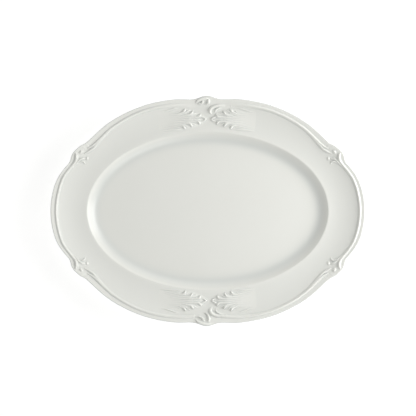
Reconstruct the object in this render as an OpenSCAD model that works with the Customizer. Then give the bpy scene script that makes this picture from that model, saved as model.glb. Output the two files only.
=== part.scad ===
// Oval china serving platter with a moulded rim. Millimetres, +Z up, +X along the length.
// The origin is the middle of the plane that the foot stands on.

/* [Platter] */
// Overall length, measured across the two end arcs
platter_length = 410; // [360:1:460]
// Width of the oval that the rim follows, before the crests are added
platter_width = 298; // [270:1:330]
// Height of the ridge where the rim meets the well
corner_height = 18; // [16:0.5:24]
// Rise of the rim from that ridge out to the edge
rim_rise = 13; // [8:0.5:15]
// Thickness of the rim
rim_thickness = 4.6; // [3.5:0.1:6]

/* [Well] */
// Length of the well, ridge to ridge
well_length = 315; // [290:1:330]
// Width of the well, ridge to ridge
well_width = 206; // [190:1:216]
// Width of the sloping wall of the well, seen from above
wall_run = 28; // [22:1:34]
// Height of the floor of the well
floor_height = 8; // [7:0.5:10]
// Thickness of the floor
floor_thickness = 5; // [4:0.1:6]

/* [Foot] */
// Gap between the foot ring's outer face and the inner edge of the sloping wall
foot_inset = 0; // [0:0.5:6]
// Width of the foot ring where it joins the floor
foot_width = 8; // [6:0.5:12]
// Width of the bare band that the platter stands on
band_width = 3; // [2:0.25:4]
// Thickness of that bare band
band_height = 0.4; // [0.3:0.1:0.8]

/* [Outline] */
// Depth of the hollow on the end side of each shoulder
end_hollow = 3.6; // [0:0.1:6]
// Depth of the hollow on the long side of each shoulder
side_hollow = 4.1; // [0:0.1:6]
// Swell of the long sides between shoulder and crest
side_swell = 1.2; // [0:0.1:3]
// How far the shoulder itself stands out between its hollows
shoulder_lift = 1.2; // [0:0.1:2]
// Lift of the crest in the middle of each long side
crest_lift = 9.7; // [4:0.1:12]
// Fall of the edge on both sides of the crest
crest_fall = 8.4; // [3:0.1:11]
// Offset of the crests from the middle, along the length
crest_x = -1.5; // [-3:0.5:0]

/* [Mouldings] */
// Distance of the end mouldings from the edge
end_inset = 6.9; // [5.5:0.1:9]
// Distance of the side mouldings from the edge, where they run closest to it
side_inset = 6.8; // [5.5:0.1:9]
// How much further in the side mouldings start at the shoulders
shoulder_drift = 3; // [0:0.1:4]
// How much further in the side mouldings end at the crests
crest_drift = 1.4; // [0:0.1:2]
// Half the width of an edge moulding
rib_half = 2.4; // [1.5:0.1:3.5]
// Height of an edge moulding above the rim
rib_height = 1.4; // [0.8:0.1:2]
// Depth that every applied moulding is bedded into the rim
bedding = 0.3; // [0.2:0.05:0.5]
// Radius of the pearls at the shoulders
pearl_r = 2.3; // [1.5:0.1:3]
// Depth of a pearl's centre below the rim
pearl_sink = 0.8; // [0.4:0.1:1.2]

/* [Feathers] */
// Distance between the two sprays at the apex
spray_gap = 5; // [3:0.5:7]
// Length of the longest frond
frond_length = 34; // [26:1:40]
// Half the width of a frond's rounded head
frond_half = 1.9; // [1.2:0.1:2.2]
// Height of a frond's head above the rim
frond_height = 1.4; // [0.8:0.1:2]
// How much nearer the well the lower crest's ornament lies
lower_drop = 2.5; // [0:0.5:3]
// How much further right the lower crest's ornament lies
lower_right = 0.5; // [0:0.5:3]
// How much nearer the well the lower crest's scroll lies
scroll_drop = 0.5; // [0:0.5:3]

/* [Hidden] */

GLAZE = [0.93, 0.94, 0.90];
BISQUE = [0.86, 0.83, 0.77];

// Half axes of the ridge around the well, and how far the rim's oval lies outside it
well_a = well_length / 2;
well_b = well_width / 2;
rim_a = platter_length / 2 - well_a;
rim_b = platter_width / 2 - well_b;

// Angles, away from the long axis, of the shoulder's two hollows, the side swell and the shoulder's lift
end_hollow_at = 19;
side_hollow_at = 29.7;
swell_at = 59;
shoulder_lift_at = 22.8;
// Widths of the same features, in degrees
end_hollow_wide = 5;
side_hollow_steep = 2.1;
side_hollow_wide = 9.7;
swell_wide = 11;
shoulder_lift_wide = 1.8;
// Widths of the crest's lift and fall along the edge
lift_wide = 14.8;
fall_wide = 24;

// Angle beyond which the edge belongs to the crest
crest_from = 60;

// Steps around the platter, and around the smaller foot ring
AROUND = 160;
FOOT_AROUND = 96;
// Steps of the search that turns a place on the rim into rim coordinates
SEARCH = 14;

// Where the mouldings start and stop, as eccentric angles
end_arc = 25;
side_arc_start = 43;
scroll_joint = 84.5;
shell_joint = 85;
// Where the side mouldings drift inwards, and over how wide a stretch
shoulder_drift_at = 38;
crest_drift_at = 90;
drift_wide = 12;

// ---------------------------------------------------------------- the rim as a surface
// A place on the rim is (u, s): u is the eccentric angle, and s is 0 on the ridge, 1 on the oval.
function rim_xy(u, s) = [(well_a + rim_a * s) * cos(u), (well_b + rim_b * s) * sin(u)];
// Beyond this share of its width the rim stops steepening, and flattens towards the lip
flat_from = 0.84;
flat_rate = 2.8;
function rim_z(s) = corner_height + rim_rise * (s * s - flat_rate * pow(max(0, s - flat_from), 2));
function rim_span(u) = norm([rim_a * cos(u), rim_b * sin(u)]);

function bell(x, wide) = exp(-pow(x / wide, 2));
// Angle away from the long axis, whichever quadrant u lies in
function off_axis(u) = atan2((well_b + rim_b) * abs(sin(u)), (well_a + rim_a) * abs(cos(u)));

// How far the edge stands outside the plain oval
function shoulder_at(t) =
    - end_hollow * bell(t - end_hollow_at, end_hollow_wide)
    - side_hollow * bell(t - side_hollow_at, t < side_hollow_at ? side_hollow_steep : side_hollow_wide)
    + side_swell * bell(t - swell_at, swell_wide)
    + shoulder_lift * bell(t - shoulder_lift_at, shoulder_lift_wide);
function crest_at(x) = crest_lift * bell(x - crest_x, lift_wide) - crest_fall * bell(x - crest_x, fall_wide);
function edge_out(u) =
    let (t = off_axis(u))
    shoulder_at(t) + (t > crest_from ? crest_at(rim_xy(u, 1).x) : 0);
function edge_s(u, inset = 0) = 1 + (edge_out(u) - inset) / rim_span(u);

// Rim coordinate s of the place (x, y), found by halving
function s_of(x, y, lo = -0.3, hi = 1.4, n = SEARCH) =
    let (m = (lo + hi) / 2, out = pow(x / (well_a + rim_a * m), 2) + pow(y / (well_b + rim_b * m), 2))
    n == 0 ? m : out > 1 ? s_of(x, y, m, hi, n - 1) : s_of(x, y, lo, m, n - 1);
function on_rim(p, lift = 0) = [p.x, p.y, rim_z(s_of(p.x, p.y)) + lift];

// ---------------------------------------------------------------- solids from rings of points
// Closed tube through rings of equal length; shut = true joins the last ring to the first.
module loft(rings, shut = false) {
    n = len(rings[0]);
    m = len(rings);
    last = shut ? m : m - 1;
    sides = [
        for (i = [0:last - 1], j = [0:n - 1])
            let (k = (j + 1) % n, a = i * n, b = ((i + 1) % m) * n)
            each [[a + k, a + j, b + j], [b + k, a + k, b + j]]
    ];
    caps = shut ? [] : [[for (j = [0:n - 1]) j], [for (j = [n - 1:-1:0]) (m - 1) * n + j]];
    polyhedron([for (r = rings) each r], concat(sides, caps), convexity = 8);
}

// Low moulding that follows a path over the rim. Each stop is [x, y, half width, height].
PROFILE = [[-1, 0], [-0.7, 0.62], [0, 1], [0.7, 0.62], [1, 0]];
function across(path, i) =
    let (a = path[max(i - 1, 0)], b = path[min(i + 1, len(path) - 1)], d = [b.x - a.x, b.y - a.y])
    [d.y, -d.x] / norm(d);
function ribbon_ring(path, i) =
    let (c = [path[i].x, path[i].y], side = across(path, i), half = path[i][2], high = path[i][3])
    concat(
        [for (q = PROFILE) on_rim(c + side * q.x * half, q.y * high)],
        [on_rim(c + side * half, -bedding), on_rim(c - side * half, -bedding)]
    );
module ribbon(path) loft([for (i = [0:len(path) - 1]) ribbon_ring(path, i)]);

// The ornament's places are those on a platter of this size, and follow a longer or wider one
DRAWN_LENGTH = 410;
DRAWN_WIDTH = 298;
function placed(p) = [p.x * platter_length / DRAWN_LENGTH, p.y * platter_width / DRAWN_WIDTH];

// Cubic curve through four handles
function bezier(p, t) =
    pow(1 - t, 3) * p[0] + 3 * t * pow(1 - t, 2) * p[1] + 3 * t * t * (1 - t) * p[2] + pow(t, 3) * p[3];
// Value that runs from v[0] to v[2] and is drawn towards v[1] on the way
function drawn(v, t) = (1 - t) * (1 - t) * v[0] + 2 * t * (1 - t) * v[1] + t * t * v[2];
// Stops along a curve, with [start, middle, end] for the half width and for the height
function stroke(p, half, high, steps = 8) = [
    for (i = [0:steps])
        let (t = i / steps, xy = placed(bezier(p, t)))
        [xy.x, xy.y, drawn(half, t), drawn(high, t)]
];
// Stops along a curve that starts with a rounded head and thins out to a tail
HEAD_START = 0.45;
HEAD_GROWTH = 5;
TAIL = 0.22;
function teardrop(p, half, high, steps = 8) = [
    for (i = [0:steps])
        let (
            t = i / steps, xy = placed(bezier(p, t)),
            size = min(1, HEAD_START + HEAD_GROWTH * t) * (1 - (1 - TAIL) * t)
        )
        [xy.x, xy.y, half * size, high * size]
];
// The same moulding in another quadrant
module ribbon_in(path, mx, my) ribbon([for (q = path) [q.x * mx, q.y * my, q[2], q[3]]]);

// ---------------------------------------------------------------- well
// Drop of the sloping wall below the ridge at distance q inside it. The wall is steep at the ridge, and
// eases into the floor round about ease_at, over a stretch that ease_wide sets.
ease_at = 9.4;
ease_wide = 2.8;
function eased(q) = ln(1 + exp(ease_at / ease_wide)) - ln(1 + exp((ease_at - q) / ease_wide));
function wall_drop(q) = (corner_height - floor_height) * eased(q) / eased(wall_run);
function well_ring(q, z) = [
    for (i = [0:AROUND - 1]) let (u = 360 * i / AROUND) [(well_a - q) * cos(u), (well_b - q) * sin(u), z]
];
// Depth of the face where the well joins the rim
wall_depth = 6.8;
// Stations across the wall, as shares of its width, on top and underneath
WALL_TOP = [1, 0.8, 0.65, 0.54, 0.44, 0.34, 0.2, 0];
WALL_UNDER = [1, 0.65, 0.44, 0.21];
// How much thicker than the floor the wall is at the stations underneath
WALL_EXTRA = [0, 0.2, 1.4, 2];
module well() {
    under = [
        for (i = [0:len(WALL_UNDER) - 1])
            let (q = WALL_UNDER[i] * wall_run)
            well_ring(q, corner_height - wall_drop(q) - floor_thickness - WALL_EXTRA[i])
    ];
    joint = [well_ring(0, corner_height - wall_depth)];
    top = [
        for (i = [len(WALL_TOP) - 1:-1:0])
            let (q = WALL_TOP[i] * wall_run)
            well_ring(q, corner_height - wall_drop(q))
    ];
    color(GLAZE) loft(concat(under, joint, top));
}

// ---------------------------------------------------------------- marly
// Section of the rim at u, outwards over the top, round the lip and back underneath. The stations on
// top and underneath are values of s, and those of the lip are angles round its half ellipse.
RIM_TOP = [0, 0.3, 0.55, 0.8];
LIP_TURN = [90, 45, 0, -45, -90];
RIM_UNDER = 0.6;
// How far across the lip's half ellipse reaches, which is as high as the rim is thick
lip_run = 1;
// Width of the hollow underneath, from the well's wall to the thin part of the rim
hollow_run = 9;
function marly_section(u) =
    let (
        e = edge_s(u), step = 1 / rim_span(u), r = rim_thickness / 2,
        lip = e - lip_run * step, z = rim_z(lip) - r
    )
    [
        for (s = RIM_TOP) [s, rim_z(s)],
        for (a = LIP_TURN) [lip + lip_run * cos(a) * step, z + r * sin(a)],
        for (s = [RIM_UNDER, hollow_run * step]) [s, rim_z(s) - rim_thickness],
        [0, corner_height - wall_depth]
    ];
module marly() color(GLAZE) loft([
    for (i = [0:AROUND - 1])
        let (u = 360 * i / AROUND)
        [for (q = marly_section(u)) [rim_xy(u, q.x).x, rim_xy(u, q.x).y, q.y]]
], shut = true);

// ---------------------------------------------------------------- foot
foot_a = well_a - wall_run - foot_inset;
foot_b = well_b - wall_run - foot_inset;
foot_top = floor_height - floor_thickness;
// Where the slope of the foot's faces changes: share of the taper, and height above the bare band
FOOT_BEND = 0.55;
foot_bend_height = 0.8;
function foot_section() =
    let (taper = (foot_width - band_width) / 2, bend = FOOT_BEND * taper, z = band_height + foot_bend_height)
    [
        [0, foot_top], [bend, z], [taper, band_height],
        [foot_width - taper, band_height], [foot_width - bend, z], [foot_width, foot_top]
    ];
module foot_ring() color(GLAZE) loft([
    for (i = [0:FOOT_AROUND - 1])
        let (u = 360 * i / FOOT_AROUND)
        [for (q = foot_section()) [(foot_a - q.x) * cos(u), (foot_b - q.x) * sin(u), q.y]]
], shut = true);

function foot_oval(inset) = [
    for (i = [0:FOOT_AROUND - 1])
        let (u = 360 * i / FOOT_AROUND)
        [(foot_a - inset) * cos(u), (foot_b - inset) * sin(u)]
];
module foot_bearing_band() color(BISQUE) linear_extrude(band_height) difference() {
    polygon(foot_oval((foot_width - band_width) / 2));
    polygon(foot_oval((foot_width + band_width) / 2));
}

// ---------------------------------------------------------------- edge mouldings
function inset_xy(u, inset) = rim_xy(u, edge_s(u, inset));
// Curl at the end of an end moulding: it leaves the edge and rolls over towards the side
HOOK = [[172.4, 73.8], [169.4, 69.6], [171, 65.4], [176.3, 58.7]];
END_STEPS = 10;
function rib_at(u, inset) = let (p = inset_xy(u, inset)) [p.x, p.y, rib_half, rib_height];
function end_half_path() = concat(
    stroke(HOOK, [1, rib_half, rib_half], rib_height * [1, 1, 1], 5),
    [for (i = [1:END_STEPS]) rib_at(end_arc * (1 - i / END_STEPS), end_inset)]
);
module end_moulding(mx) {
    half = end_half_path();
    other = [for (i = [len(half) - 2:-1:0]) let (q = half[i]) [q.x, -q.y, q[2], q[3]]];
    color(GLAZE) ribbon_in(concat(half, other), mx, 1);
}

// Side moulding, from its tapered shoulder end to where it meets the crest, for the first quadrant
SIDE_TIP = [[153.4, 83.4], [149.8, 85.4], [145.6, 88.2], [140.6, 93.2]];
function side_inset_at(u) =
    side_inset + shoulder_drift * bell(u - shoulder_drift_at, drift_wide)
    + crest_drift * bell(u - crest_drift_at, drift_wide);
SIDE_STEPS = 16;
function side_path(stop) = concat(
    stroke(SIDE_TIP, [0.8, rib_half, rib_half], rib_height * [0.5, 1, 1], 5),
    [
        for (i = [1:SIDE_STEPS])
            let (u = side_arc_start + (stop - side_arc_start) * i / SIDE_STEPS)
            rib_at(u, side_inset_at(u))
    ]
);
module side_moulding(mx, my)
    color(GLAZE) ribbon_in(side_path(mx > 0 ? scroll_joint : shell_joint), mx, my);

// ---------------------------------------------------------------- crests
// The lower ornament lies nearer the well, less and less so towards the edge
drop_from = 130;
drop_to = 140;
function lower_y(y, drop) = drop * (1 - min(1, max(0, (y - drop_from) / (drop_to - drop_from)))) - y;
// Ornament in the middle of the upper side (my = 1), or its mirror image on the lower side (my = -1)
module at_crest(path, my, drop = lower_drop) ribbon([
    for (q = path) my > 0 ? q : [q.x + lower_right, lower_y(q.y, drop), q[2], q[3]]
]);
// Large C-shaped scroll that the right-hand side moulding ends in
SCROLL = [[3.2, 126.8], [1.4, 132.4], [7, 137.6], [17.6, 137.8]];
SCROLL_INNER = [[9.4, 128.8], [9.2, 131], [11, 132.8], [14, 133.4]];
module crest_scroll(my) color(GLAZE) {
    at_crest(stroke(SCROLL, [1.4, 2.8, rib_half], [1, 2.4, rib_height], 12), my, scroll_drop);
    at_crest(stroke(SCROLL_INNER, [0.5, 1.6, 0.5], [0.5, 1.6, 0.5]), my, scroll_drop);
}

// Shell in the middle of the long side: an outer fold and two crescents inside it
SHELL_FOLD = [[-14.6, 142.2], [-11.8, 144.6], [-8, 146.4], [-2.6, 146.6]];
SHELL_LEFT = [[-14, 139], [-9, 138.4], [-7.2, 140], [-6.8, 143]];
SHELL_RIGHT = [[-4.2, 138.6], [-0.2, 138.8], [0.9, 141.2], [0.9, 144]];
module crest_shell(my) color(GLAZE) {
    at_crest(stroke(SHELL_FOLD, [0.4, 2.4, 0.4], [0.5, 2.2, 0.5]), my);
    at_crest(stroke(SHELL_LEFT, [0.4, 2.2, 0.4], [0.5, 2.4, 0.5]), my);
    at_crest(stroke(SHELL_RIGHT, [0.4, 2.4, 0.4], [0.5, 2.8, 0.5]), my);
}

// ---------------------------------------------------------------- feather sprays
// Two fans of fronds spread from an apex between the well and the crest. Each head is [out, up].
apex_x = 1.5;
apex_y = 119;
HEADS = [[0, 0], [7.5, 4.8], [7.5, -4.8], [17.5, 8.6], [17.5, -8.6], [26, 11.4], [26, -11.4]];
// Distance out at which a frond's length would reach nothing, and how much fronds fan out
FROND_FADE = 70;
FROND_FAN = 0.12;
FROND_BEND = [[0, 0], [0.3, 1], [0.65, 1.5], [1, 1]];
function frond(h, mx) =
    let (
        x = spray_gap / 2 + h.x, y = apex_y + h.y,
        reach = frond_length * (1 - h.x / FROND_FADE), fan = h.y * FROND_FAN
    )
    [for (q = FROND_BEND) [apex_x + mx * (x + q.x * reach), y + q.y * fan]];
module feather_spray(mx, my) color(GLAZE)
    for (h = HEADS) at_crest(teardrop(frond(h, mx), frond_half, frond_height), my);

// ---------------------------------------------------------------- shoulders
// Small scrolls and pearls in the crook between the end and side mouldings
SPLIT_END = [[159.6, 75.2], [156.6, 77.4], [153, 78.2], [149.4, 79.8]];
INNER_SCROLL = [[169.8, 60.2], [168, 64.4], [164.4, 66.8], [160.6, 67.6]];
// Each pearl is [x, y, share of the full radius]
PEARLS = [[165.4, 77, 1], [156, 67, 0.85]];
PEARL_AROUND = 24;
module shoulder_scroll(mx, my) color(GLAZE) {
    ribbon_in(stroke(SPLIT_END, [0.5, 2.2, 0.5], [0.5, 1.6, 0.5]), mx, my);
    ribbon_in(stroke(INNER_SCROLL, [0.5, 2.2, 0.5], [0.5, 1.5, 0.5]), mx, my);
    for (q = PEARLS)
        translate(on_rim(placed([q.x * mx, q.y * my]), -pearl_sink))
            sphere(pearl_r * q.z, $fn = PEARL_AROUND);
}

well();
marly();
foot_ring();
foot_bearing_band();
end_moulding(1);  // edge_moulding_right
end_moulding(-1);  // edge_moulding_left
side_moulding(1, 1);  // edge_moulding_top_right
side_moulding(-1, 1);  // edge_moulding_top_left
side_moulding(1, -1);  // edge_moulding_bottom_right
side_moulding(-1, -1);  // edge_moulding_bottom_left
crest_shell(1);  // crest_shell_top
crest_shell(-1);  // crest_shell_bottom
crest_scroll(1);  // crest_scroll_top
crest_scroll(-1);  // crest_scroll_bottom
feather_spray(1, 1);  // feather_spray_top_right
feather_spray(-1, 1);  // feather_spray_top_left
feather_spray(1, -1);  // feather_spray_bottom_right
feather_spray(-1, -1);  // feather_spray_bottom_left
shoulder_scroll(1, 1);  // shoulder_scroll_top_right
shoulder_scroll(-1, 1);  // shoulder_scroll_top_left
shoulder_scroll(1, -1);  // shoulder_scroll_bottom_right
shoulder_scroll(-1, -1);  // shoulder_scroll_bottom_left
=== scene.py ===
import math

import bpy
import numpy as np
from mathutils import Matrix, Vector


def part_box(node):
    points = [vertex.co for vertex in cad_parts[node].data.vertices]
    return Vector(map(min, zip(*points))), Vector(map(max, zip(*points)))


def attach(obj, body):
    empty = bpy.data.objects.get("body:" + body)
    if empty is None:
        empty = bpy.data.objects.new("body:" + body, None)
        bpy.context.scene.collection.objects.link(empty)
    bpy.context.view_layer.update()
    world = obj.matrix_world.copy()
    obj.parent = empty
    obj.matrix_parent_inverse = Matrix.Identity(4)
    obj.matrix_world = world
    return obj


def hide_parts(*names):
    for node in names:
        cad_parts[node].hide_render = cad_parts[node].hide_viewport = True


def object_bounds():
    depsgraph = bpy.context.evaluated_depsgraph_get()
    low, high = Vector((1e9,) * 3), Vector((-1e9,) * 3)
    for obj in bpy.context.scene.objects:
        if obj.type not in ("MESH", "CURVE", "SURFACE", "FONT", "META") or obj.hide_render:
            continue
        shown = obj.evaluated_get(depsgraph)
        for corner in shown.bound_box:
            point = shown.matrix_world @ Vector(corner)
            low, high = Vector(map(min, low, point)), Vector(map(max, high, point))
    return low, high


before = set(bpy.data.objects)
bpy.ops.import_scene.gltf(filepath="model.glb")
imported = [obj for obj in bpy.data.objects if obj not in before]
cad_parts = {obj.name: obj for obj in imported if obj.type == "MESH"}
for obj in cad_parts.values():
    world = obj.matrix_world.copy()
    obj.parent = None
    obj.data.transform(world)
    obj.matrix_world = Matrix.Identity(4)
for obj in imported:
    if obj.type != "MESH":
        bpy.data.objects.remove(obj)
cad_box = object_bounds()

# An oval porcelain platter. Shapes are worked out in millimetres in the frame's axes, and turned into
# metres when a mesh is made.
MM = 0.001


# ---------------------------------------------------------------- sizes read from the frame
def half_axes(node):
    """Half of a node's length and width."""
    low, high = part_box(node)
    return (high.x - low.x) / 2 / MM, (high.y - low.y) / 2 / MM


def top_of(node):
    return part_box(node)[1].z / MM


# The outline rises at the crest on each long side, between two shallow hollows
CREST_X = -1.5
CREST_LIFT = 9.7
CREST_LIFT_WIDE = 14.8
CREST_FALL = 8.4
CREST_FALL_WIDE = 24
WELL_A, WELL_B = half_axes("well")
RIM_A = half_axes("marly")[0] - WELL_A
RIM_B = half_axes("marly")[1] - (CREST_LIFT - CREST_FALL) - WELL_B
FOOT_A = half_axes("foot_ring")[0]
RIDGE_Z = top_of("well")
FOOT_TOP = top_of("foot_ring")
BAND_TOP = top_of("foot_bearing_band")

RIM_RISE = 13.0
# Beyond this share of its width the rim stops steepening, and flattens towards the lip
FLAT_FROM = 0.84
FLAT_RATE = 2.8
RIM_THICK = 4.6
# The lip is half an ellipse: LIP_R up and down from its middle, and LIP_RUN outwards
LIP_R = RIM_THICK / 2
LIP_RUN = 1.0
# The well's wall runs from the ridge to over the foot, and its floor lies at this height
WALL_RUN = WELL_A - FOOT_A
FLOOR_Z = 8.0
# The wall is steep at the ridge and eases into the floor round about this inset, over this stretch
EASE_AT = 9.4
EASE_WIDE = 2.8
# Softness of the corner at the ridge, on the upper face and underneath
RIDGE_SOFT = 0.38
UNDER_SOFT = 3.0
# Underneath, the wall is this much thicker round about this inset, which fades in from the ridge
WALL_THICKER = 1.4
THICKER_AT = 9
THICKER_WIDE = 7
THICKER_CLEAR = 3
# The underside turns level from this inset, over this stretch, and is slightly hollow under the floor
LEVEL_FROM = 12
LEVEL_RUN = 13
UNDER_HOLLOW = 0.5
# The floor sinks this much towards its middle
FLOOR_SAG = 0.35
# Insets from the ridge: the foot's own rings, where its two flanks begin, and how wide a flank is
FOOT_RINGS = (26.4, 37.2)
FOOT_OUTER = 27.2
FOOT_INNER = 33.4
FOOT_FLANK = 3.4
# The bare band laps this far onto the flanks. Each of its sides is a list of (distance inwards, height).
BAND_LAP = 0.35
BAND_SIDE = [(0, 0.75), (0.05, 0.35), (0.25, 0.12), (0.65, 0.02), (1.15, 0.0)]
# The unevenness that firing leaves
WARP_HIGH = 0.22

# Points round each ring of the body
AROUND = 720


# ---------------------------------------------------------------- the rim as a surface
# A place on the rim is (u, s): u is the eccentric angle in radians, s is 0 on the ridge and 1 on the oval.
def bell(x, wide):
    return np.exp(-(x / wide) ** 2)


def smooth(t):
    t = np.clip(t, 0, 1)
    return t * t * (3 - 2 * t)


# Swells and hollows of the edge in each quadrant: (mm outwards, degrees from the long axis, width in degrees)
EDGE_BELLS = [(-3.6, 19, 5), (1.2, 59, 11), (1.2, 22.8, 1.8), (-0.7, 19.3, 1.4), (-0.6, 26.8, 1.6)]
# The notch at the shoulder is narrow on the side of the long axis and wide on the other
NOTCH_OUT = -4.1
NOTCH_AT = 29.7
NOTCH_WIDE = (2.1, 9.7)
# The crests shape the edge beyond this angle only
CREST_FROM = 60


def shoulder_at(t):
    """How far the edge stands outside the oval, t degrees from the long axis."""
    notch = NOTCH_OUT * bell(t - NOTCH_AT, np.where(t < NOTCH_AT, *NOTCH_WIDE))
    return notch + sum(out * bell(t - at, wide) for out, at, wide in EDGE_BELLS)


def crest_at(x):
    lift = CREST_LIFT * bell(x - CREST_X, CREST_LIFT_WIDE)
    return lift - CREST_FALL * bell(x - CREST_X, CREST_FALL_WIDE)


def edge_out(u):
    """How far the edge stands outside the oval."""
    x = (WELL_A + RIM_A) * np.cos(u)
    y = (WELL_B + RIM_B) * np.sin(u)
    t = np.degrees(np.arctan2(abs(y), abs(x)))
    return shoulder_at(t) + np.where(t > CREST_FROM, crest_at(x), 0)


def rim_span(u):
    """Distance from the ridge to the oval."""
    return np.hypot(RIM_A * np.cos(u), RIM_B * np.sin(u))


def edge_s(u, inset=0.0):
    """s of the edge, or of a place this far inside it."""
    return 1 + (edge_out(u) - inset) / rim_span(u)


def rim_xy(u, s):
    return (WELL_A + RIM_A * s) * np.cos(u), (WELL_B + RIM_B * s) * np.sin(u)


# Range of s that the relief can lie in, and how often it is halved to find a place
S_RANGE = (-0.6, 1.4)
HALVINGS = 26


def rim_place(x, y):
    """(u, s) of the place (x, y), found by halving."""
    low, high = np.full_like(x, S_RANGE[0]), np.full_like(x, S_RANGE[1])
    for _ in range(HALVINGS):
        s = (low + high) / 2
        outside = (x / (WELL_A + RIM_A * s)) ** 2 + (y / (WELL_B + RIM_B * s)) ** 2 > 1
        low, high = np.where(outside, s, low), np.where(outside, high, s)
    return np.arctan2(y / (WELL_B + RIM_B * s), x / (WELL_A + RIM_A * s)), s


def corner(q, soft):
    """q for a large q and 0 for a large -q, with a rounded turn between."""
    return (q + np.sqrt(q * q + 4 * soft * soft)) / 2


def softplus(t):
    return np.log1p(np.exp(t))


def eased(q):
    return softplus(EASE_AT / EASE_WIDE) - softplus((EASE_AT - q) / EASE_WIDE)


EASE_SCALE = (RIDGE_Z - FLOOR_Z) / eased(WALL_RUN)
WALL_SLOPE = EASE_SCALE / EASE_WIDE / (1 + math.exp(-EASE_AT / EASE_WIDE))


def warp(x, y):
    """The slight unevenness that firing leaves in a platter, fading towards the foot."""
    out = smooth((np.hypot(x / WELL_A, y / WELL_B) - 0.7) / 0.8)
    wave = np.sin(x / 61 + 0.7) * np.cos(y / 53 - 0.4) + 0.5 * np.sin((x + 1.7 * y) / 44)
    return WARP_HIGH * out * wave


def rim_lift(s):
    """How far the rim's upper face rises above the ridge."""
    return RIM_RISE * (s * s - FLAT_RATE * np.clip(s - FLAT_FROM, 0, None) ** 2)


def rim_top(u, s):
    """Height of the rim's upper face, with the roll of its lip."""
    x, y = rim_xy(u, s)
    span = rim_span(u)
    over = np.clip(1 - (edge_s(u) - s) * span / LIP_RUN, 0, 1)
    roll = LIP_R * (1 - np.sqrt(1 - over ** 2))
    return RIDGE_Z + rim_lift(s) - WALL_SLOPE * corner(-s * span, RIDGE_SOFT) - roll + warp(x, y)


def wall_drop(q, soft):
    """How far the wall lies below the ridge's corner, q inside it."""
    return EASE_SCALE * eased(q) + WALL_SLOPE * (corner(q, soft) - q)


# ---------------------------------------------------------------- the body, ring by ring: well, rim and foot
ANGLES = np.linspace(0, 2 * math.pi, AROUND, endpoint=False)


def ring(x, y, z):
    return np.stack([x, y, z + 0 * x], axis=1)


def well_oval(q):
    return (WELL_A - q) * np.cos(ANGLES), (WELL_B - q) * np.sin(ANGLES)


def floor_ring(share, z):
    x, y = well_oval(WALL_RUN)
    return ring(x * share, y * share, z)


def wall_ring(q):
    x, y = well_oval(q)
    return ring(x, y, RIDGE_Z - wall_drop(q, RIDGE_SOFT) + warp(x, y))


def marly_ring(s):
    x, y = rim_xy(ANGLES, s)
    return ring(x, y, rim_top(ANGLES, s))


def lip_ring(angle):
    """One ring of the lip at the edge: angle runs from a right angle on top to minus one underneath."""
    middle = edge_s(ANGLES, LIP_RUN)
    s = middle + LIP_RUN * math.cos(angle) / rim_span(ANGLES)
    x, y = rim_xy(ANGLES, s)
    mx, my = rim_xy(ANGLES, middle)
    z = rim_top(ANGLES, middle) - warp(mx, my) + warp(x, y)
    return ring(x, y, z + LIP_R * (math.sin(angle) - 1))


def rim_under_ring(share):
    """Underside of the rim: share is 1 under the lip's middle and 0 under the ridge."""
    s = edge_s(ANGLES, LIP_RUN) * share
    x, y = rim_xy(ANGLES, s)
    d = s * rim_span(ANGLES)
    drop = WALL_SLOPE * corner(-d, UNDER_SOFT)
    return ring(x, y, RIDGE_Z + rim_lift(s) - RIM_THICK - drop + warp(x, y))


def foot_depth(q):
    """How far the foot stands below the underside, q inside the ridge."""
    standing = smooth((q - FOOT_OUTER) / FOOT_FLANK) - smooth((q - FOOT_INNER) / FOOT_FLANK)
    return (FOOT_TOP - BAND_TOP) * standing


def wall_under_ring(q):
    x, y = well_oval(q)
    at_ridge = bell(THICKER_AT, THICKER_WIDE) * bell(q, THICKER_CLEAR)
    thicker = WALL_THICKER * (bell(q - THICKER_AT, THICKER_WIDE) - at_ridge)
    z = RIDGE_Z - wall_drop(q, UNDER_SOFT) - RIM_THICK - thicker
    level = float(smooth((q - LEVEL_FROM) / LEVEL_RUN))
    z = z * (1 - level) + FOOT_TOP * level
    return ring(x, y, z - foot_depth(q) + warp(x, y) * (1 - level))


def under_floor_ring(share, q):
    x, y = well_oval(q)
    return ring(x * share, y * share, FOOT_TOP + UNDER_HOLLOW * (1 - share ** 2))


# Where the rings lie, from the middle of the floor outwards over the rim and back in underneath
FLOOR_SHARES = np.linspace(0.03, 1, 26)[:-1]
WALL_INSETS = np.concatenate([np.linspace(WALL_RUN, 3, 28)[:-1], np.linspace(3, 0.0, 10)])
MARLY_SHARES = np.concatenate([np.linspace(0, 0.06, 9)[1:], np.linspace(0.06, 1, 42)[1:]])
LIP_ANGLES = np.radians(np.linspace(90, -90, 15))
UNDER_SHARES = np.linspace(1, 0, 30)
UNDER_INSETS = np.linspace(0, FOOT_RINGS[0], 20)[1:]
FOOT_INSETS = np.linspace(*FOOT_RINGS, 28)
UNDER_FLOOR_SHARES = np.linspace(1, 0.03, 18)[1:]

floor_z = RIDGE_Z - float(wall_drop(WALL_RUN, RIDGE_SOFT))
well_rings = [floor_ring(r, floor_z - FLOOR_SAG * (1 - r ** 2) ** 2) for r in FLOOR_SHARES]
well_rings += [wall_ring(q) for q in WALL_INSETS]
marly_rings = [marly_ring(edge_s(ANGLES, LIP_RUN) * share) for share in MARLY_SHARES[:-1]]
marly_rings += [lip_ring(a) for a in LIP_ANGLES]
marly_rings += [rim_under_ring(share) for share in UNDER_SHARES[1:]]
wall_under_rings = [wall_under_ring(q) for q in UNDER_INSETS]
foot_rings = [wall_under_ring(q) for q in FOOT_INSETS[1:]]
floor_under_rings = [under_floor_ring(r, FOOT_INSETS[-1]) for r in UNDER_FLOOR_SHARES]

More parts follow.
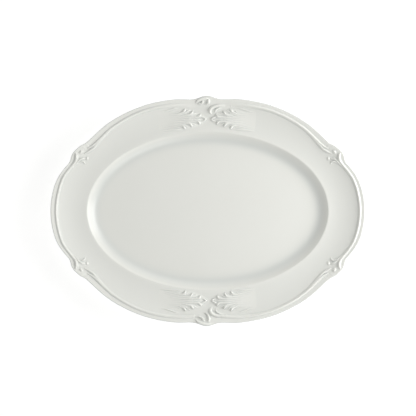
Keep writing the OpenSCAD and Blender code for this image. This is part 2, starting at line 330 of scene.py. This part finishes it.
RINGS = np.array(well_rings + marly_rings + wall_under_rings + foot_rings + floor_under_rings)
RIDGE_RING = len(well_rings) - 1
JOINT_RING = RIDGE_RING + len(marly_rings)
FOOT_START = JOINT_RING + len(wall_under_rings)
FOOT_END = FOOT_START + len(foot_rings)


def ring_normals(rings):
    """Outward normals from the neighbouring points along and around the body."""
    along = np.gradient(rings, axis=0)
    around = np.roll(rings, -1, axis=1) - np.roll(rings, 1, axis=1)
    n = np.cross(along, around)
    return n / np.linalg.norm(n, axis=2, keepdims=True)


NORMALS = ring_normals(RINGS)


# Hollowness is measured over this many rings each way, and turned at this rate into the glaze's pooled tint,
# which also paints shade into the hollows
HOLLOW_REACH = 4
POOLING_SHADE_RATE = 6


def hollowness(rings, normals):
    """Positive where the section is hollow, as in a corner that glaze pools in and shade falls in; negative
    on a crest.
    """
    before = np.roll(rings, HOLLOW_REACH, axis=0)
    after = np.roll(rings, -HOLLOW_REACH, axis=0)
    middle = (before + after) / 2 - rings
    width = np.linalg.norm(after - before, axis=2) + 1e-6
    return np.sum(middle * normals, axis=2) / width


# The glaze's pooled tint, which also serves as painted shade darkening the body's hollows
POOLING_AND_SHADE = np.clip(POOLING_SHADE_RATE * hollowness(RINGS, NORMALS), -1, 1)
# The lip is toned like the hollows, apart from the two or three rings nearest its faces: painted shade, which
# draws a dark line along the edge
LIP_START = RIDGE_RING + len(MARLY_SHARES)
POOLING_AND_SHADE[LIP_START + 2:LIP_START + len(LIP_ANGLES) - 3] = 1.0
# Underneath, the pooled tint and painted shade in the corners are weaker
UNDER_POOLING_SHADE = 0.4
POOLING_AND_SHADE[JOINT_RING:] *= UNDER_POOLING_SHADE


def new_piece(name, points, faces, pooling_and_shade, normals=None):
    """A closed smooth mesh from millimetre points, with the glaze's pooled tint and painted shade as an
    attribute.
    """
    mesh = bpy.data.meshes.new(name)
    mesh.from_pydata((np.asarray(points) * MM).tolist(), [], faces)
    mesh.polygons.foreach_set("use_smooth", [True] * len(mesh.polygons))
    attribute = mesh.attributes.new("pooling_and_shade", "FLOAT", "POINT")
    attribute.data.foreach_set("value", np.asarray(pooling_and_shade, np.float32))
    mesh.update()
    if normals is not None:
        mesh.normals_split_custom_set_from_vertices(np.asarray(normals).tolist())
    piece = bpy.data.objects.new(name, mesh)
    bpy.context.scene.collection.objects.link(piece)
    return piece


def tube_faces(count, loop):
    """Quads between rings of AROUND points; loop joins the last ring to the first."""
    faces = []
    last = count if loop else count - 1
    for i in range(last):
        a, b = i * AROUND, ((i + 1) % count) * AROUND
        for j in range(AROUND):
            k = (j + 1) % AROUND
            faces.append((a + j, b + j, b + k, a + k))
    return faces


def ring_piece(name, start, end):
    """The closed band of the body between two rings, with a hidden face where it meets its neighbour."""
    part = slice(start, end + 1)
    count = end + 1 - start
    return new_piece(
        name, RINGS[part].reshape(-1, 3), tube_faces(count, True),
        POOLING_AND_SHADE[part].reshape(-1), NORMALS[part].reshape(-1, 3),
    )


def well_piece(name):
    """Floor and wall: upper rings out to the ridge, and the underside back in, past the foot."""
    chosen = list(range(0, RIDGE_RING + 1)) + list(range(JOINT_RING, FOOT_START + 1))
    chosen += list(range(FOOT_END, len(RINGS)))
    points = np.concatenate([RINGS[chosen].reshape(-1, 3), [[0, 0, 0]], [[0, 0, 0]]])
    top, bottom = len(points) - 2, len(points) - 1
    points[top] = [0, 0, RINGS[0, :, 2].mean()]
    points[bottom] = [0, 0, RINGS[-1, :, 2].mean()]
    normals = np.concatenate([NORMALS[chosen].reshape(-1, 3), [[0, 0, 1]], [[0, 0, -1]]])
    pooling_and_shade = np.concatenate([POOLING_AND_SHADE[chosen].reshape(-1), [0, 0]])
    faces = tube_faces(len(chosen), False)
    last = (len(chosen) - 1) * AROUND
    for j in range(AROUND):
        k = (j + 1) % AROUND
        faces.append((top, j, k))
        faces.append((bottom, last + k, last + j))
    return new_piece(name, points, faces, pooling_and_shade, normals)


# ---------------------------------------------------------------- relief on the rim
# A stroke is a curve with a half width and a height along it, and a lean that moves its crest to one side.
RELIEF_CELL = 0.4
# The relief's feathered border lies this far under the rim's face, and its back this far inside the rim
RELIEF_SINK = 0.03
RELIEF_BED = 0.9
# It covers what is higher than this
RELIEF_LEAST = 0.006
# Passes of blur that a relief's hollows are judged against, and the rate that turns them into pooled tint and
# painted shade
BLUR_PASSES = 6
RELIEF_POOLING_SHADE_RATE = 2.2
# Steps between neighbouring points of a traced curve
TRACE_STEPS = 8


def trace(points):
    """Smooth curve through the points."""
    p = np.array(points, float)
    p = np.concatenate([[2 * p[0] - p[1]], p, [2 * p[-1] - p[-2]]])
    t = np.linspace(0, 1, TRACE_STEPS, endpoint=False)[:, None]
    made = []
    for a, b, c, d in zip(p[:-3], p[1:-2], p[2:-1], p[3:]):
        first = (c - a) / 2
        second = a - 2.5 * b + 2 * c - d / 2
        third = (d - a + 3 * (b - c)) / 2
        made.append(b + first * t + second * t ** 2 + third * t ** 3)
    return np.concatenate(made + [p[-2:-1]])


def on_rim(points):
    """Places given as (degrees round the rim, inset from its edge)."""
    u, inset = np.radians([q[0] for q in points]), np.array([q[1] for q in points], float)
    return np.stack(rim_xy(u, edge_s(u, inset)), axis=1)


def stroke(path, half, high, lean=0.0, power=1.5, swell=False):
    """Half width and height are lists of values, spread evenly along the path.

    The lean runs from -1 to 1, the power rounds the section, and a swell lifts the other strokes.
    """
    path = np.asarray(path, float)
    along = np.linspace(0, 1, len(path))
    return {
        "path": path, "lean": lean, "power": power, "swell": swell,
        "half": np.interp(along, np.linspace(0, 1, len(half)), half),
        "high": np.interp(along, np.linspace(0, 1, len(high)), high),
    }


def mirrored(s, mx, my):
    """The stroke in another quadrant."""
    return {**s, "path": s["path"] * [mx, my], "lean": s["lean"] * mx * my}


def stroke_height(s, x, y):
    """Height of one stroke over the places (x, y)."""
    a, b = s["path"][:-1], s["path"][1:]
    d = b - a
    best = np.full(x.shape, 1e9)
    half, high, side = np.ones_like(x), np.zeros_like(x), np.zeros_like(x)
    for i in range(len(a)):
        length2 = max(d[i] @ d[i], 1e-9)
        t = np.clip(((x - a[i, 0]) * d[i, 0] + (y - a[i, 1]) * d[i, 1]) / length2, 0, 1)
        dx, dy = x - a[i, 0] - t * d[i, 0], y - a[i, 1] - t * d[i, 1]
        far = np.hypot(dx, dy)
        near = far < best
        best = np.where(near, far, best)
        half = np.where(near, s["half"][i] * (1 - t) + s["half"][i + 1] * t, half)
        high = np.where(near, s["high"][i] * (1 - t) + s["high"][i + 1] * t, high)
        side = np.where(near, np.sign(d[i, 0] * dy - d[i, 1] * dx), side)
    r = side * best / half - s["lean"]
    r = np.where(r > 0, r / (1 - s["lean"]), -r / (1 + s["lean"]))
    return high * np.clip(1 - r * r, 0, 1) ** s["power"]


def relief_height(strokes, x, y):
    """The highest stroke at each place, on top of the swells."""
    height = np.max([stroke_height(s, x, y) for s in strokes if not s["swell"]], axis=0)
    return height + sum(stroke_height(s, x, y) for s in strokes if s["swell"])


def grow(mask):
    """The mask and its neighbours."""
    wide = mask.copy()
    wide[1:] |= mask[:-1]
    wide[:-1] |= mask[1:]
    wide[:, 1:] |= wide[:, :-1].copy()
    wide[:, :-1] |= wide[:, 1:].copy()
    return wide


def mend_corners(mask):
    """Fills cells until no two of them touch only at a corner."""
    while True:
        a, b, c, d = mask[:-1, :-1], mask[1:, :-1], mask[:-1, 1:], mask[1:, 1:]
        one = a & d & ~b & ~c
        other = b & c & ~a & ~d
        if not (one.any() or other.any()):
            return mask
        mask[1:, :-1] |= one
        mask[:-1, :-1] |= other


def relief_cells(height):
    """The cells of the grid that a relief covers, with a border round them."""
    raised = height > RELIEF_LEAST
    cells = raised[:-1, :-1] | raised[1:, :-1] | raised[:-1, 1:] | raised[1:, 1:]
    return mend_corners(grow(cells))


def relief_faces(cells, number, total):
    """Faces of the front, the back and the sides. The front has total points, and the back's follow them."""
    i, j = np.nonzero(cells)
    quads = np.stack([number[i, j], number[i + 1, j], number[i + 1, j + 1], number[i, j + 1]], axis=1)
    front = quads.tolist()
    edges = dict.fromkeys((loop[k], loop[(k + 1) % 4]) for loop in front for k in range(4))
    sides = [(b, a, a + total, b + total) for a, b in edges if (b, a) not in edges]
    return front + (quads[:, ::-1] + total).tolist() + sides


def relief_pooling_shade(height):
    """Pooled tint and painted shade: positive in a relief's hollows, and negative on its crests."""
    blurred = height.copy()
    for _ in range(BLUR_PASSES):
        blurred[1:-1, 1:-1] = (
            blurred[1:-1, 1:-1] + blurred[:-2, 1:-1] + blurred[2:, 1:-1]
            + blurred[1:-1, :-2] + blurred[1:-1, 2:]
        ) / 5
    return np.clip(RELIEF_POOLING_SHADE_RATE * (blurred - height), -1, 1)


def relief_piece(name, strokes):
    """A closed piece that lies on the rim: its front is the rim's face plus the strokes' height."""
    reach = max(s["half"].max() for s in strokes) + 3 * RELIEF_CELL
    every = np.concatenate([s["path"] for s in strokes])
    low, high = every.min(0) - reach, every.max(0) + reach
    xs = np.arange(low[0], high[0], RELIEF_CELL)
    ys = np.arange(low[1], high[1], RELIEF_CELL)
    x, y = np.meshgrid(xs, ys, indexing="ij")
    height = relief_height(strokes, x, y)
    cells = relief_cells(height)
    used = np.zeros(x.shape, bool)
    for di, dj in ((0, 0), (1, 0), (0, 1), (1, 1)):
        used[di:di + cells.shape[0], dj:dj + cells.shape[1]] |= cells
    total = used.sum()
    number = np.full(x.shape, -1)
    number[used] = np.arange(total)

    ux, uy = x[used], y[used]
    base = rim_top(*rim_place(ux, uy))
    front = np.stack([ux, uy, base + height[used] - RELIEF_SINK], axis=1)
    back = np.stack([ux, uy, base - RELIEF_BED], axis=1)
    # Pooled tint and painted shade in the relief's hollows
    pooling_and_shade = relief_pooling_shade(height)[used]
    return new_piece(
        name, np.concatenate([front, back]), relief_faces(cells, number, int(total)),
        np.concatenate([pooling_and_shade, 0 * pooling_and_shade]),
    )


# ---------------------------------------------------------------- the strokes of each moulding
RIB_HALF = 2.5
RIB_HIGH = 2.1
# Places round the rim, as (degrees, inset from the edge)
END_RIB = [
    (20, 6.5), (22, 6.3), (24.3, 6.1), (26.9, 6.9), (28.5, 7.6), (29.6, 7.2), (30.5, 5.6), (31, 3.8),
]
SIDE_RIB = [
    (36.3, 8.5), (37.8, 8.5), (39, 9), (40.4, 9.3), (43, 9.2), (46, 8.9), (50, 8.3), (55, 7.8), (60, 7.3),
    (65, 7.1), (70, 7.2), (75, 7.6), (80, 8.1), (84.5, 8.6),
]
SIDE_BRANCH = [
    (33.4, 12.1), (34.9, 13), (36.1, 12.8), (37.6, 12), (39.5, 11.3), (42, 10.5), (45, 9.6), (48, 8.8),
]
SIDE_VEINS = [[(38.3, 5.8), (38.5, 1.6)], [(37.1, 5.8), (37.2, 1.6)], [(35.4, 7.6), (35.5, 2.2)]]
INNER_SCROLL = [(24.7, 7.7), (26.7, 9), (28.6, 11.4), (30.3, 14), (31.3, 16.7)]
INNER_HOOK = [(26.9, 10.8), (28.4, 13.3), (29.2, 15.8), (29.4, 18), (28.9, 20)]
INNER_KNOB = [(31.6, 19.4), (31.9, 18.9)]
OUTER_BEAD = [(33.2, 7.4), (32.7, 7.6)]
# Distance of the end ribs from the edge on the long axis, on the right and on the left
END_INSET = {1: 6.9, -1: 7.8}
# The end arc runs to where END_RIB begins, and shifts to its inset over the last part, in degrees
END_ARC, END_ARC_INSET = END_RIB[0]
END_SHIFT = 10


def end_moulding(mx):
    """Rib along one end arc, with both ends bent in and then out to the lip at the shoulders."""
    turns = np.linspace(-END_ARC, END_ARC, 49)
    inset = END_INSET[mx]
    shift = smooth((abs(turns) - (END_ARC - END_SHIFT)) / END_SHIFT)
    arc = on_rim(list(zip(turns, inset + (END_ARC_INSET - inset) * shift)))
    bend = trace(on_rim(END_RIB))
    widths = [RIB_HALF, 2.5, 2.6, 2.7, 2.8, 2.8, 2.5, 1.9]
    heights = [RIB_HIGH, 2.1, 2.2, 2.5, 3.0, 3.1, 2.5, 1.2]
    parts = [
        stroke(arc, [RIB_HALF], [RIB_HIGH]),
        stroke(bend, widths, heights),
        stroke(bend * [1, -1], widths, heights),
    ]
    return [mirrored(s, mx, 1) for s in parts]


def side_moulding(mx, my):
    """Rib along a side arc, in two branches at the shoulder; the upper ones fade out towards the crest."""
    widths = [1.3, 1.9, 2.2, 2.4, 2.6, 2.6, 2.5, 2.5, 2.5, 2.5, 2.6, 2.7, 2.8, 2.8]
    end = 0.2 if my > 0 else 2.0
    heights = [0.9, 1.8, 2.2, 2.2, 2.1, 2.0, 1.9, 1.9, 1.9, 1.9, 1.8, 1.7, (1.4 + end) / 2, end]
    parts = [
        stroke(trace(on_rim(SIDE_RIB)), widths, heights),
        stroke(
            trace(on_rim(SIDE_BRANCH)),
            [1.3, 1.9, 2.1, 2.2, 2.3, 2.4, 2.4, 2.4], [0.9, 1.9, 2.2, 2.2, 2.1, 2.0, 1.9, 1.8],
        ),
    ]
    parts += [stroke(on_rim(vein), [1.2, 1.0], [0.4, 0.2]) for vein in SIDE_VEINS]
    return [mirrored(s, mx, my) for s in parts]


def shoulder_scroll(mx, my):
    """Scroll that springs from the end rib and hooks inwards, with a knob at its tip, and a bead outside."""
    parts = [
        stroke(trace(on_rim(INNER_SCROLL)), [1.2, 1.8, 2.0, 1.9, 1.4], [0.9, 1.8, 2.2, 1.9, 0.8]),
        stroke(trace(on_rim(INNER_HOOK)), [1.0, 1.4, 1.7, 1.7, 1.2], [0.6, 1.4, 2.0, 2.0, 0.9]),
        stroke(on_rim(INNER_KNOB), [2.3], [1.5], power=1.3),
        stroke(on_rim(OUTER_BEAD), [2.4], [1.9], power=1.3),
    ]
    return [mirrored(s, mx, my) for s in parts]


# The lower crest lies this much nearer the well than the upper one, and this much further right. Its drop
# fades out over the last stretch before the edge.
LOWER_DROP = 2.5
SCROLL_DROP = 0.6
LOWER_RIGHT = 0.6
DROP_FADE_FROM = 130
DROP_FADE_RUN = 10


def at_crest(s, my, drop=LOWER_DROP):
    """A stroke of the upper crest, or its twin on the lower side."""
    if my > 0:
        return s
    x, y = s["path"].T
    drop = drop * (1 - np.clip((y - DROP_FADE_FROM) / DROP_FADE_RUN, 0, 1))
    return {**s, "path": np.stack([x + LOWER_RIGHT, drop - y], axis=1), "lean": -s["lean"]}


def crest_scroll(my):
    """The large C that the right-hand rib ends in, the small scroll inside it, and a pearl further along."""
    large = [
        (4.2, 127.4), (3, 129.1), (2.9, 131.2), (4.4, 133.5),
        (7, 135.2), (10.5, 136.4), (15, 137.1), (23, 137.2),
    ]
    small = [(9.9, 128.8), (10.2, 130.6), (11.6, 132.4), (14.4, 133.8), (18.5, 134.8)]
    end = 0.3 if my > 0 else 2.0
    parts = [
        stroke(
            trace(large),
            [1.5, 2.4, 2.8, 2.9, 2.8, 2.6, 2.4, 2.4], [1.1, 2.9, 3.4, 3.3, 2.9, 2.3, 1.8, end],
        ),
        stroke(trace(small), [1.0, 1.7, 1.7, 1.5, 1.0], [0.9, 2.2, 2.2, 1.5, 0.3]),
        stroke([(30.5, 136.8), (30.6, 137.4)], [1.7], [0.9]),
    ]
    return [at_crest(s, my, SCROLL_DROP) for s in parts]


def crest_shell(my):
    """Outer fold, and two comma-shaped lobes inside it, which begin further out on the lower side."""
    if my > 0:
        start = 0.3
        fold = [(-15.5, 140.8), (-13, 142.9), (-10, 144.5), (-6, 145.7), (-2, 146), (2, 145.4)]
        left = [(-13.6, 139.5), (-11, 139.5), (-8.7, 139.7), (-7.1, 140.7), (-6.7, 142.2), (-7.2, 143.6)]
        right = [(-4.8, 139.3), (-2.6, 139.2), (-0.7, 139.6), (0.6, 140.8), (0.9, 142.6), (0.8, 145)]
    else:
        start = 1.4
        fold = [(-16.5, 141.2), (-13.4, 143.6), (-9.6, 145.4), (-5, 146.6), (0, 146.8), (4, 146)]
        left = [(-21, 137.8), (-15, 137.8), (-11, 138.2), (-8.4, 139.4), (-6.6, 141), (-5.6, 142.6)]
        right = [(-6.5, 134), (-3.6, 134.6), (-1, 136), (0.4, 138.2), (0.8, 140.6), (0.4, 143.2)]
    parts = [
        stroke(trace(fold), [0.9, 2.0, 2.3, 2.3, 2.1, 1.4], [0.8, 2.2, 2.7, 2.5, 1.9, 0.4], lean=0.45),
        stroke(trace(left), [1.4, 1.7, 1.9, 2.1, 2.1, 1.4], [start, 1.7, 2.3, 2.9, 2.8, 1.0]),
        stroke(trace(right), [0.9, 1.5, 2.0, 2.4, 2.5, 1.8], [0.3, 1.3, 2.4, 3.2, 3.3, 1.4]),
    ]
    return [at_crest(s, my) for s in parts]


# The wings of the crest are measured from the point where they meet, and each frond runs from its rolled
# head outwards. Some fronds lie above the wing's middle, and some below it.
APEX = np.array([1.2, 119.6])
# The right and the left wing: the left one reaches a little further
WING_STRETCH = {1: 1.0, -1: 1.08}
UPPER_FRONDS = [
    [(10.9, 6.9), (12.1, 5.6), (14.6, 4.4), (20, 3.7), (31, 2.8), (45, 1.6)],
    [(20.3, 10.9), (21.5, 9.5), (23.6, 7.6), (27, 6), (33, 4.7), (45, 3.4)],
    [(29.4, 13.5), (30.6, 12.1), (32.2, 10.6), (34.6, 8.7), (38.6, 7.1), (51, 6.6)],
]
LOWER_FRONDS = [
    [(11.8, -6.4), (12.6, -5), (14.8, -3.8), (20, -3), (32, -2.8), (46, -3.8)],
    [(21.4, -9.6), (22.3, -8.1), (24.4, -6.5), (29, -5.6), (38, -6), (50, -8)],
    [(29.6, -12.4), (30.7, -11), (32.6, -9.4), (36.5, -8.8), (44, -10.4), (56, -13)],
]
# They are drawn in towards the wing's middle: the first points, which are the head, move by the first of
# these distances, and the rest by the second
HEAD_POINTS = 3
UPPER_MOVES = [(-0.8, -1.4), (0, -0.8)]
LOWER_MOVES = [(-0.8, 0.9), (0, 0.4)]


def drawn_in(path, moves):
    """The frond in its place, to a tenth of a millimetre."""
    each = [moves[0] if i < HEAD_POINTS else moves[1] for i in range(len(path))]
    return [(round(x + dx, 1), round(y + dy, 1)) for (x, y), (dx, dy) in zip(path, each)]


FRONDS = [drawn_in(path, UPPER_MOVES) for path in UPPER_FRONDS]
FRONDS += [drawn_in(path, LOWER_MOVES) for path in LOWER_FRONDS]
FROND_HALF = [1.5, 1.9, 1.7, 1.4, 1.1, 1.0]
FROND_HIGH = [1.8, 2.3, 1.5, 1.0, 0.6, 0.0]
# Thin leaflets between the fronds, and one beyond them on each side
LEAFLETS = [
    [(14.2, 8.9), (17.6, 7.5), (20.6, 6.5), (26, 4.7), (34, 3.6)],
    [(22.8, 12), (25.2, 10.7), (28.2, 8.9), (31.2, 7.5), (38, 5.2)],
    [(37, 14.4), (42, 13.6), (47, 12.1), (52, 10.7), (59, 9.4)],
    [(15.2, -7.2), (18.6, -5.6), (23, -4.4), (28, -4), (36, -4)],
    [(24.6, -10.8), (27.6, -8.9), (31, -7.5), (35, -7.2), (42, -7.6)],
    [(33, -13.2), (39, -13.6), (46, -13.8), (53, -14.4), (60, -15.4)],
]
LEAFLET_HALF = [0.9, 1.2, 1.3, 1.2, 1.0]
LEAFLET_HIGH = [0.2, 0.9, 1.0, 0.7, 0.0]
TIP = [[(3.4, 0), (5.4, 1.4), (8.2, 2.9), (11.4, 4.1)], [(3.4, 0), (5.8, -1.6), (9.4, -3.2)]]
MIDDLE_VEIN = [(7, 0), (20, 0.2), (36, 0)]
# The low swelling that a wing lies on
LEAF = [(3, 0), (12, 0), (24, 0), (42, -1), (62, -3)]
# Fine barbs run this far beside each frond, from this point of it
BARB_GAP = 2.1
BARB_FROM = 3


def beside(path, gap):
    """The path moved sideways."""
    path = np.asarray(path, float)
    along = np.gradient(path, axis=0)
    along /= np.linalg.norm(along, axis=1, keepdims=True)
    return path + gap * np.stack([-along[:, 1], along[:, 0]], axis=1)


def feather_spray(mx, my):
    """A wing of fronds with rolled heads and fine barbs, on a low swelling that fades out along the side."""
    parts = [stroke(trace(LEAF), [3.5, 9, 13, 15, 14], [0.2, 1.5, 2.1, 1.2, 0.0], power=1.0, swell=True)]
    for path in FRONDS:
        parts.append(stroke(trace(path), FROND_HALF, FROND_HIGH, power=1.2))
        for gap in (-BARB_GAP, BARB_GAP):
            barb = beside(trace(path[BARB_FROM:]), gap)
            parts.append(stroke(barb, [0.9, 0.9, 0.7], [0.5, 0.5, 0.0]))
    for path in LEAFLETS:
        parts.append(stroke(trace(path), LEAFLET_HALF, LEAFLET_HIGH))
    for path in TIP:
        parts.append(stroke(trace(path), [1.3, 1.6, 1.3, 1.0], [1.8, 1.9, 1.0, 0.2]))
    parts.append(stroke(trace(MIDDLE_VEIN), [1.0, 1.2, 0.9], [0.5, 0.5, 0.0]))
    stretch = [mx * WING_STRETCH[mx], 1]
    placed = [{**s, "path": s["path"] * stretch + APEX, "lean": s["lean"] * mx} for s in parts]
    return [at_crest(s, my) for s in placed]


# ---------------------------------------------------------------- materials
def material(name):
    made = bpy.data.materials.new(name)
    made.use_nodes = True
    return made, made.node_tree.nodes, made.node_tree.links


def noise(nodes, links, scale, detail):
    """Three-dimensional noise that is fixed to the piece."""
    place = nodes.new("ShaderNodeTexCoord")
    made = nodes.new("ShaderNodeTexNoise")
    made.inputs["Scale"].default_value = scale
    made.inputs["Detail"].default_value = detail
    links.new(place.outputs["Object"], made.inputs["Vector"])
    return made


def ramp(nodes, links, source, stops):
    made = nodes.new("ShaderNodeValToRGB")
    made.color_ramp.elements[0].position, made.color_ramp.elements[0].color = stops[0]
    made.color_ramp.elements[1].position, made.color_ramp.elements[1].color = stops[-1]
    for position, color in stops[1:-1]:
        made.color_ramp.elements.new(position).color = color
    links.new(source, made.inputs["Fac"])
    return made


def mix(nodes, links, factor, a, b):
    """Colour between a and b; each input is a value or another node's output."""
    made = nodes.new("ShaderNodeMix")
    made.data_type = "RGBA"
    for socket, value in (("Factor", factor), ("A", a), ("B", b)):
        inputs = [i for i in made.inputs if i.name == socket and i.enabled]
        if isinstance(value, bpy.types.NodeSocket):
            links.new(value, inputs[0])
        else:
            inputs[0].default_value = value
    return [o for o in made.outputs if o.enabled][0]


def spread(nodes, links, source, low, high, to_low, to_high):
    """Turns the range low to high into to_low to to_high, and clamps it."""
    made = nodes.new("ShaderNodeMapRange")
    for name, value in (("From Min", low), ("From Max", high), ("To Min", to_low), ("To Max", to_high)):
        made.inputs[name].default_value = value
    links.new(source, made.inputs["Value"])
    return made.outputs["Result"]


def bump(nodes, links, source, distance, strength, after=None):
    made = nodes.new("ShaderNodeBump")
    made.inputs["Distance"].default_value = distance
    made.inputs["Strength"].default_value = strength
    links.new(source, made.inputs["Height"])
    if after is not None:
        links.new(after, made.inputs["Normal"])
    return made.outputs["Normal"]


def glaze_material():
    """Warm white body under a clear glaze, greyer where the glaze pools, which also paints shade into the
    hollows and along the lip, with a faint ripple and peel.
    """
    made, nodes, links = material("glazed_porcelain")
    shader = nodes["Principled BSDF"]
    cloud = noise(nodes, links, 14, 3).outputs["Fac"]
    body = ramp(nodes, links, cloud, [
        (0.3, (0.861, 0.867, 0.822, 1)), (0.5, (0.866, 0.872, 0.828, 1)), (0.7, (0.871, 0.877, 0.834, 1)),
    ]).outputs["Color"]
    pooling_and_shade = nodes.new("ShaderNodeAttribute")
    pooling_and_shade.attribute_name = "pooling_and_shade"
    pooled_shade = spread(nodes, links, pooling_and_shade.outputs["Fac"], 0, 1, 0, 1)
    # Painted shade: the body turns grey where the pooling attribute is high, in hollows and along the lip
    pooled_and_shaded = mix(nodes, links, pooled_shade, body, (0.60, 0.64, 0.63, 1))
    links.new(pooled_and_shaded, shader.inputs["Base Color"])
    fine = noise(nodes, links, 120, 2).outputs["Fac"]
    links.new(spread(nodes, links, fine, 0.3, 0.7, 0.30, 0.38), shader.inputs["Roughness"])
    shader.inputs["Coat Weight"].default_value = 0.4
    shader.inputs["Coat Roughness"].default_value = 0.12
    shader.inputs["Coat IOR"].default_value = 1.5
    ripple = bump(nodes, links, noise(nodes, links, 45, 2).outputs["Fac"], 0.0004, 0.12)
    peel = bump(nodes, links, noise(nodes, links, 420, 2).outputs["Fac"], 0.00005, 0.25, ripple)
    links.new(peel, shader.inputs["Normal"])
    links.new(ripple, shader.inputs["Coat Normal"])
    return made


def bare_material():
    """Unglazed body, matt and grainy, with faint stains."""
    made, nodes, links = material("bare_porcelain")
    shader = nodes["Principled BSDF"]
    stain = noise(nodes, links, 60, 5).outputs["Fac"]
    color = ramp(nodes, links, stain, [
        (0.35, (0.62, 0.58, 0.51, 1)), (0.55, (0.70, 0.67, 0.60, 1)), (0.75, (0.74, 0.72, 0.66, 1)),
    ]).outputs["Color"]
    links.new(color, shader.inputs["Base Color"])
    grain = noise(nodes, links, 1500, 4).outputs["Fac"]
    links.new(spread(nodes, links, grain, 0.3, 0.7, 0.62, 0.85), shader.inputs["Roughness"])
    links.new(bump(nodes, links, grain, 0.00015, 0.6), shader.inputs["Normal"])
    return made


GLAZE = glaze_material()
BARE = bare_material()


# ---------------------------------------------------------------- making the pieces
def finish_piece(piece, slot, shade, *nodes):
    """Gives a piece its material, and puts it in the place of its CAD nodes."""
    piece.data.materials.append(shade)
    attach(piece, "root")
    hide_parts(*nodes)


def band_piece(name):
    """The bare band that stands on the table: a flat-bottomed ring with eased edges, bedded in the foot."""
    outer, inner = FOOT_OUTER + FOOT_FLANK - BAND_LAP, FOOT_INNER + BAND_LAP
    profile = [(outer + d, z) for d, z in BAND_SIDE]
    profile += [(inner - d, z) for d, z in reversed(BAND_SIDE)]
    points = np.concatenate([ring(*well_oval(q), z) for q, z in profile])
    return new_piece(name, points, tube_faces(len(profile), True), np.zeros(len(points)))


finish_piece(well_piece("platter_well"), "glazed_porcelain", GLAZE, "well")
finish_piece(ring_piece("platter_marly", RIDGE_RING, JOINT_RING), "glazed_porcelain", GLAZE, "marly")
finish_piece(ring_piece("platter_foot", FOOT_START, FOOT_END), "glazed_porcelain", GLAZE, "foot_ring")
finish_piece(band_piece("platter_foot_band"), "bare_porcelain", BARE, "foot_bearing_band")

MOULDINGS = {
    "edge_moulding_right": end_moulding(1), "edge_moulding_left": end_moulding(-1),
    "crest_shell_top": crest_shell(1), "crest_shell_bottom": crest_shell(-1),
    "crest_scroll_top": crest_scroll(1), "crest_scroll_bottom": crest_scroll(-1),
}
for across, mx in (("right", 1), ("left", -1)):
    for upright, my in (("top", 1), ("bottom", -1)):
        MOULDINGS[f"edge_moulding_{upright}_{across}"] = side_moulding(mx, my)
        MOULDINGS[f"feather_spray_{upright}_{across}"] = feather_spray(mx, my)
        MOULDINGS[f"shoulder_scroll_{upright}_{across}"] = shoulder_scroll(mx, my)
for node, strokes in MOULDINGS.items():
    finish_piece(relief_piece("platter_" + node, strokes), "glazed_porcelain", GLAZE, node)


# ---------------------------------------------------------------- floor, light and camera
def make_floor():
    """Round white floor, which shines a little, so that it is as white as paper under the lights."""
    count, radius = 128, 4.0
    around = [2 * math.pi * i / count for i in range(count)]
    points = [(radius * math.cos(a), radius * math.sin(a), 0) for a in around]
    mesh = bpy.data.meshes.new("floor")
    mesh.from_pydata(points, [], [tuple(range(count))])
    floor = bpy.data.objects.new("floor", mesh)
    bpy.context.scene.collection.objects.link(floor)
    made, nodes, _ = material("floor_white")
    shader = nodes["Principled BSDF"]
    shader.inputs["Base Color"].default_value = (0.6, 0.6, 0.6, 1)
    shader.inputs["Roughness"].default_value = 0.8
    shader.inputs["Emission Color"].default_value = (1, 1, 1, 1)
    shader.inputs["Emission Strength"].default_value = 0.6
    mesh.materials.append(made)


def make_sky():
    """Even light from all round."""
    world = bpy.data.worlds.new("studio")
    world.use_nodes = True
    world.node_tree.nodes["Background"].inputs["Color"].default_value = (1.0, 1.0, 0.985, 1)
    world.node_tree.nodes["Background"].inputs["Strength"].default_value = 0.52
    bpy.context.scene.world = world


def make_softbox(name, azimuth, elevation, distance, size, power):
    """Square light that faces the platter from a direction given in degrees."""
    light = bpy.data.lights.new(name, "AREA")
    light.size = size
    light.energy = power
    box = bpy.data.objects.new(name, light)
    a, e = math.radians(azimuth), math.radians(elevation)
    back = np.array([math.cos(a) * math.cos(e), math.sin(a) * math.cos(e), math.sin(e)])
    box.location = back * distance
    box.rotation_euler = (math.radians(90) - e, 0, a + math.radians(90))
    bpy.context.scene.collection.objects.link(box)


# The view is this many times as wide as the platter, and its middle lies at this place in metres
VIEW_SPREAD = 1.321
VIEW_MIDDLE = (0.0003, 0.0038)


def make_camera():
    """Straight down, so far away that there is hardly any perspective."""
    lens, sensor = 250, 36
    view_width = VIEW_SPREAD * (cad_box[1].x - cad_box[0].x)
    camera = bpy.data.cameras.new("camera")
    camera.lens = lens
    camera.sensor_width = sensor
    eye = bpy.data.objects.new("camera", camera)
    height = cad_box[1].z + view_width * lens / sensor
    eye.location = (*VIEW_MIDDLE, height)
    bpy.context.scene.collection.objects.link(eye)
    bpy.context.scene.camera = eye


make_floor()
make_sky()
make_softbox("key", azimuth=5, elevation=35, distance=1.6, size=1.0, power=2.4)
make_softbox("front", azimuth=-65, elevation=26, distance=1.7, size=0.9, power=4.2)
make_softbox("back", azimuth=80, elevation=26, distance=1.7, size=0.9, power=2.5)
make_softbox("side", azimuth=10, elevation=26, distance=0.7, size=0.55, power=2.9)
make_camera()
bpy.context.scene.view_settings.view_transform = "Standard"
